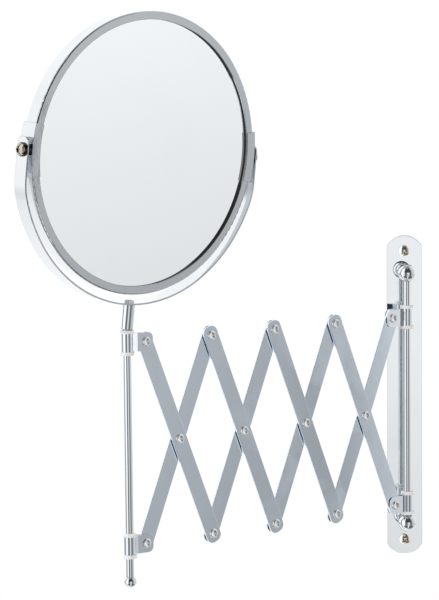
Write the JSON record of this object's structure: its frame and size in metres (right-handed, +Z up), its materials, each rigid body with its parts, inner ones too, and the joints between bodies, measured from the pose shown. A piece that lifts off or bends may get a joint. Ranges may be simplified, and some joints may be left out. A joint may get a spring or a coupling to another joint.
{
  "type": "extendable shaving mirror",
  "caption": "Round double-sided shaving mirror in a yoke on a scissor arm that swings on a wall rod, extends, pans and flips.",
  "frame": {"origin": "centre of the wall plate's back face, in the wall plane", "axes": "+Y into the wall, +X to the right along the wall, +Z up"},
  "size_m": [0.2674, 0.2444, 0.3718],
  "materials": {
    "chrome": "polished",
    "plate_chrome": "polished",
    "link_chrome": "polished",
    "strap_chrome": "polished",
    "rivet": "bright",
    "nylon": "smooth white",
    "screw_nickel": "nickel, slightly warm",
    "pivot_nickel": "nickel, darker",
    "dark_steel": "dark, satin",
    "zinc_nut": "zinc",
    "plain_mirror": "silvered glass",
    "magnifying_mirror": "silvered glass, hollow",
    "spacer_board": "board",
    "gasket": "black"
  },
  "bodies": {
    "wall_mount": {"wall_plate": "plate_chrome", "wall_rod": "chrome", "upper_ball_post": "chrome", "lower_ball_post": "chrome", "upper_post_screw": "screw_nickel", "lower_post_screw": "screw_nickel", "upper_wall_screw": "screw_nickel", "lower_wall_screw": "screw_nickel"},
    "lower_wall_bracket": {"lower_wall_clip": "strap_chrome", "lower_wall_bushes": "nylon", "lower_wall_rivet": "rivet"},
    "upper_wall_bracket": {"upper_wall_clip": "strap_chrome", "upper_wall_bushes": "nylon", "upper_wall_rivet": "rivet"},
    "upper_mirror_bracket": {"upper_mirror_clip": "strap_chrome", "upper_mirror_bushes": "nylon", "upper_mirror_rivet": "rivet"},
    "lower_mirror_bracket": {"lower_mirror_clip": "strap_chrome", "lower_mirror_bushes": "nylon", "lower_mirror_rivet": "rivet"},
    "front_link_1": {"front_link_1": "link_chrome", "link_washers_1": "nylon", "middle_rivet_1": "rivet", "upper_rivet_1": "rivet"},
    "back_link_1": {"back_link_1": "link_chrome"},
    "front_link_2": {"front_link_2": "link_chrome", "link_washers_2": "nylon", "middle_rivet_2": "rivet", "upper_rivet_2": "rivet", "lower_rivet_1": "rivet"},
    "back_link_2": {"back_link_2": "link_chrome"},
    "front_link_3": {"front_link_3": "link_chrome", "link_washers_3": "nylon", "middle_rivet_3": "rivet", "upper_rivet_3": "rivet", "lower_rivet_2": "rivet"},
    "back_link_3": {"back_link_3": "link_chrome"},
    "front_link_4": {"front_link_4": "link_chrome", "link_washers_4": "nylon", "middle_rivet_4": "rivet", "lower_rivet_3": "rivet"},
    "back_link_4": {"back_link_4": "link_chrome"},
    "mirror_stem": {"mirror_rod": "chrome", "rod_end_ball": "chrome", "ferrule": "chrome", "yoke": "chrome", "yoke_nut": "zinc_nut"},
    "mirror_head": {"mirror_frame": "chrome", "plain_glass": "plain_mirror", "magnifying_glass": "magnifying_mirror", "glass_gasket": "gasket", "glass_spacer": "spacer_board", "right_saddle_clip": "chrome", "left_saddle_clip": "chrome", "right_pivot_screw": "pivot_nickel", "left_pivot_screw": "pivot_nickel", "pivot_spacers": "dark_steel", "pivot_washers": "dark_steel", "pivot_nuts": "zinc_nut"}
  },
  "joints": [
    {"name": "arm_swing", "type": "hinge", "parent": "wall_mount", "child": "lower_wall_bracket", "pos_m": [0, -0.017, -0.072], "axis": [0, 0, 1], "range_deg": [-33, 142]},
    {"name": "arm_extend", "type": "hinge", "parent": "lower_wall_bracket", "child": "front_link_1", "pos_m": [-0.01046, -0.02438, -0.072], "axis": [0.5764, -0.8171, 0], "range_deg": [-12, 38]},
    {"name": "back_link_1_turn", "type": "hinge", "parent": "front_link_1", "child": "back_link_1", "pos_m": [-0.03158, -0.03928, -0.00802], "axis": [0.5764, -0.8171, 0], "range_deg": [-77, 25]},
    {"name": "back_link_2_turn", "type": "hinge", "parent": "front_link_1", "child": "back_link_2", "pos_m": [-0.0527, -0.05418, 0.05595], "axis": [0.5764, -0.8171, 0], "range_deg": [-77, 25]},
    {"name": "front_link_2_turn", "type": "hinge", "parent": "back_link_2", "child": "front_link_2", "pos_m": [-0.07382, -0.06908, -0.00802], "axis": [0.5764, -0.8171, 0], "range_deg": [-25, 77]},
    {"name": "back_link_3_turn", "type": "hinge", "parent": "front_link_2", "child": "back_link_3", "pos_m": [-0.09495, -0.08398, 0.05595], "axis": [0.5764, -0.8171, 0], "range_deg": [-77, 25]},
    {"name": "front_link_3_turn", "type": "hinge", "parent": "back_link_3", "child": "front_link_3", "pos_m": [-0.11607, -0.09888, -0.00802], "axis": [0.5764, -0.8171, 0], "range_deg": [-25, 77]},
    {"name": "back_link_4_turn", "type": "hinge", "parent": "front_link_3", "child": "back_link_4", "pos_m": [-0.13719, -0.11378, 0.05595], "axis": [0.5764, -0.8171, 0], "range_deg": [-77, 25]},
    {"name": "front_link_4_turn", "type": "hinge", "parent": "back_link_4", "child": "front_link_4", "pos_m": [-0.15831, -0.12868, -0.00802], "axis": [0.5764, -0.8171, 0], "range_deg": [-25, 77]},
    {"name": "upper_wall_bracket_turn", "type": "hinge", "parent": "back_link_1", "child": "upper_wall_bracket", "pos_m": [-0.01046, -0.02438, 0.05595], "axis": [0.5764, -0.8171, 0], "range_deg": [-13, 39]},
    {"name": "upper_mirror_bracket_turn", "type": "hinge", "parent": "front_link_4", "child": "upper_mirror_bracket", "pos_m": [-0.17943, -0.14357, 0.05595], "axis": [0.5764, -0.8171, 0], "range_deg": [-39, 13]},
    {"name": "lower_mirror_bracket_turn", "type": "hinge", "parent": "back_link_4", "child": "lower_mirror_bracket", "pos_m": [-0.17943, -0.14357, -0.072], "axis": [0.5764, -0.8171, 0], "range_deg": [-13, 39]},
    {"name": "mirror_pan", "type": "hinge", "parent": "upper_mirror_bracket", "child": "mirror_stem", "pos_m": [-0.18989, -0.15095, 0.05595], "axis": [0, 0, 1], "continuous": true},
    {"name": "mirror_flip", "type": "hinge", "parent": "mirror_stem", "child": "mirror_head", "pos_m": [-0.17953, -0.15445, 0.1737], "axis": [0.7731, 0.632, -0.0539], "continuous": true}
  ],
  "couplings": [
    {"joint": "back_link_1_turn", "follows": "arm_extend", "ratio": -2},
    {"joint": "back_link_2_turn", "follows": "arm_extend", "ratio": -2},
    {"joint": "front_link_2_turn", "follows": "arm_extend", "ratio": 2},
    {"joint": "back_link_3_turn", "follows": "arm_extend", "ratio": -2},
    {"joint": "front_link_3_turn", "follows": "arm_extend", "ratio": 2},
    {"joint": "back_link_4_turn", "follows": "arm_extend", "ratio": -2},
    {"joint": "front_link_4_turn", "follows": "arm_extend", "ratio": 2},
    {"joint": "upper_wall_bracket_turn", "follows": "arm_extend", "ratio": 1},
    {"joint": "upper_mirror_bracket_turn", "follows": "arm_extend", "ratio": -1},
    {"joint": "lower_mirror_bracket_turn", "follows": "arm_extend", "ratio": 1}
  ]
}
